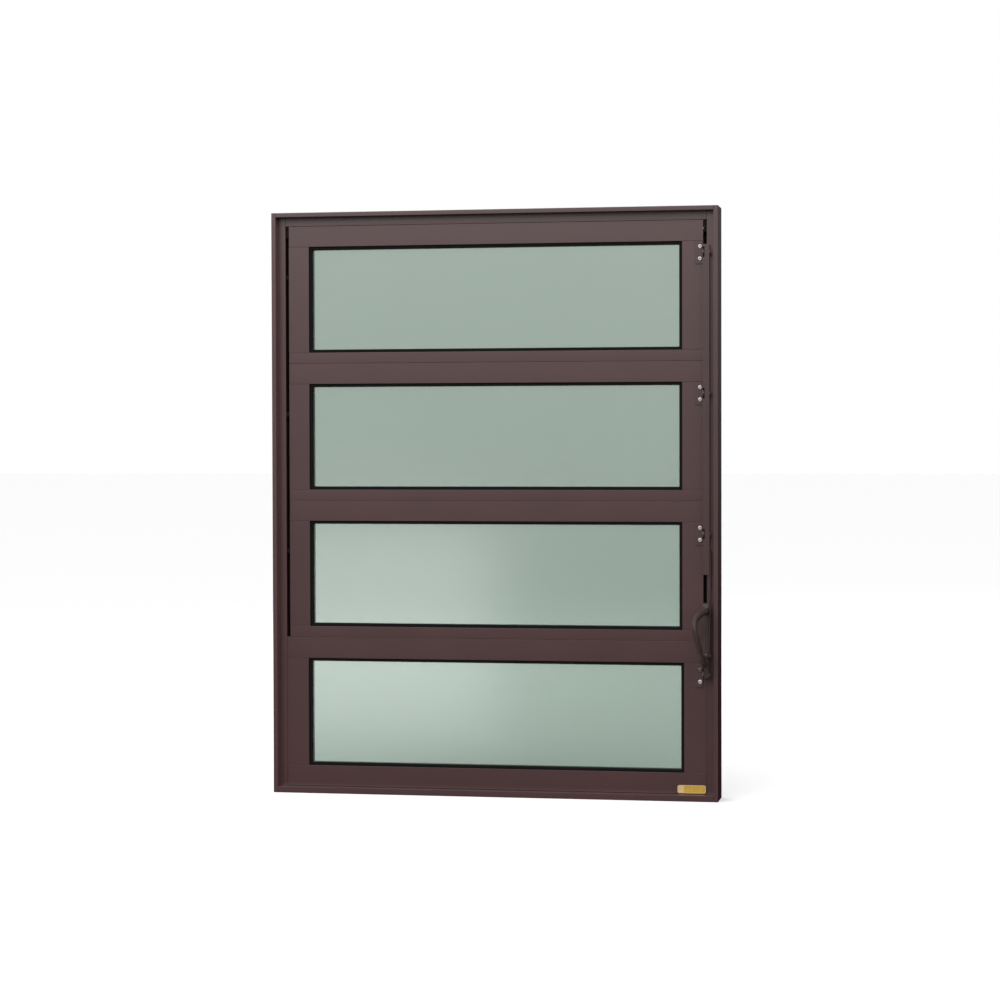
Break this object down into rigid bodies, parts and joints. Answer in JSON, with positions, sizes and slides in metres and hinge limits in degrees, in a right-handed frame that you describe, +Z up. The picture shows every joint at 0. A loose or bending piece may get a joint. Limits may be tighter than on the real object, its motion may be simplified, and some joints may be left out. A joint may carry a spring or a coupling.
{
  "type": "lever-operated tilting window",
  "caption": "Aluminium window with tilting glazed sashes over a fixed light, linked by a push-pull bar and worked together by a hand lever on the right jamb.",
  "frame": {"origin": "middle of the sill's underside, half way through the frame's depth", "axes": "+X to the right seen from the room, +Y away from the room to the outside, +Z up"},
  "size_m": [0.616, 0.0976, 0.8],
  "materials": {
    "frame_aluminium": "satin bronze anodised or powder-coated extrusion",
    "sash_aluminium": "satin bronze anodised or powder-coated extrusion",
    "fixed_light_aluminium": "satin bronze anodised or powder-coated extrusion",
    "bar_aluminium": "satin bronze",
    "cast_lever": "satin bronze casting",
    "tinted_glass": "pale grey-green, smooth",
    "gasket_rubber": "matt black",
    "side_seal": "black pile strip",
    "nylon_bush": "dark nylon",
    "dark_steel": "dark coated steel",
    "bright_rivet": "bright rivet head",
    "pin_steel": "plain steel",
    "label_brass": "gold-coloured plate, blank"
  },
  "bodies": {
    "frame": {"frame_head": "frame_aluminium", "frame_sill": "frame_aluminium", "frame_jamb_left": "frame_aluminium", "frame_jamb_right": "frame_aluminium", "side_seal_left": "side_seal", "side_seal_right": "side_seal", "fixed_transom": "fixed_light_aluminium", "fixed_bottom_rail": "fixed_light_aluminium", "fixed_stile_left": "fixed_light_aluminium", "fixed_stile_right": "fixed_light_aluminium", "fixed_glass": "tinted_glass", "fixed_gasket": "gasket_rubber", "lever_clip": "dark_steel", "lever_rivet_upper": "bright_rivet", "lever_rivet_lower": "bright_rivet", "label_plate": "label_brass", "sash_1_bush_left": "nylon_bush", "sash_1_bush_right": "nylon_bush", "sash_2_bush_left": "nylon_bush", "sash_2_bush_right": "nylon_bush", "sash_3_bush_left": "nylon_bush", "sash_3_bush_right": "nylon_bush"},
    "sash_1": {"sash_1_top_rail": "sash_aluminium", "sash_1_bottom_rail": "sash_aluminium", "sash_1_stile_left": "sash_aluminium", "sash_1_stile_right": "sash_aluminium", "sash_1_pivot_pin_left": "pin_steel", "sash_1_pivot_pin_right": "pin_steel", "sash_1_glass": "tinted_glass", "sash_1_gasket": "gasket_rubber", "sash_1_clip": "dark_steel", "sash_1_rivet_upper": "bright_rivet", "sash_1_rivet_lower": "bright_rivet"},
    "sash_2": {"sash_2_top_rail": "sash_aluminium", "sash_2_bottom_rail": "sash_aluminium", "sash_2_stile_left": "sash_aluminium", "sash_2_stile_right": "sash_aluminium", "sash_2_pivot_pin_left": "pin_steel", "sash_2_pivot_pin_right": "pin_steel", "sash_2_glass": "tinted_glass", "sash_2_gasket": "gasket_rubber", "sash_2_clip": "dark_steel", "sash_2_rivet_upper": "bright_rivet", "sash_2_rivet_lower": "bright_rivet"},
    "sash_3": {"sash_3_top_rail": "sash_aluminium", "sash_3_bottom_rail": "sash_aluminium", "sash_3_stile_left": "sash_aluminium", "sash_3_stile_right": "sash_aluminium", "sash_3_pivot_pin_left": "pin_steel", "sash_3_pivot_pin_right": "pin_steel", "sash_3_glass": "tinted_glass", "sash_3_gasket": "gasket_rubber", "sash_3_clip": "dark_steel", "sash_3_rivet_upper": "bright_rivet", "sash_3_rivet_lower": "bright_rivet"},
    "bar": {"connecting_bar": "bar_aluminium", "drive_link": "dark_steel", "link_pin": "pin_steel"},
    "lever": {"lever_handle": "cast_lever"}
  },
  "joints": [
    {"name": "sash_1_tilt", "type": "hinge", "parent": "frame", "child": "sash_1", "pos_m": [0, -0.006, 0.711], "axis": [1, 0, 0], "range_deg": [0, 60]},
    {"name": "sash_2_tilt", "type": "hinge", "parent": "frame", "child": "sash_2", "pos_m": [0, -0.006, 0.522], "axis": [1, 0, 0], "range_deg": [0, 60]},
    {"name": "sash_3_tilt", "type": "hinge", "parent": "frame", "child": "sash_3", "pos_m": [0, -0.006, 0.333], "axis": [1, 0, 0], "range_deg": [0, 60]},
    {"name": "lever_turn", "type": "hinge", "parent": "frame", "child": "lever", "pos_m": [0, -0.025, 0.171], "axis": [1, 0, 0], "range_deg": [0, 60]},
    {"name": "bar_pin", "type": "hinge", "parent": "sash_1", "child": "bar", "pos_m": [0, -0.0205, 0.738], "axis": [1, 0, 0], "range_deg": [-60, 0]}
  ],
  "couplings": [
    {"joint": "sash_2_tilt", "follows": "sash_1_tilt", "ratio": 1},
    {"joint": "sash_3_tilt", "follows": "sash_1_tilt", "ratio": 1},
    {"joint": "lever_turn", "follows": "sash_1_tilt", "ratio": 1},
    {"joint": "bar_pin", "follows": "sash_1_tilt", "ratio": -1}
  ]
}
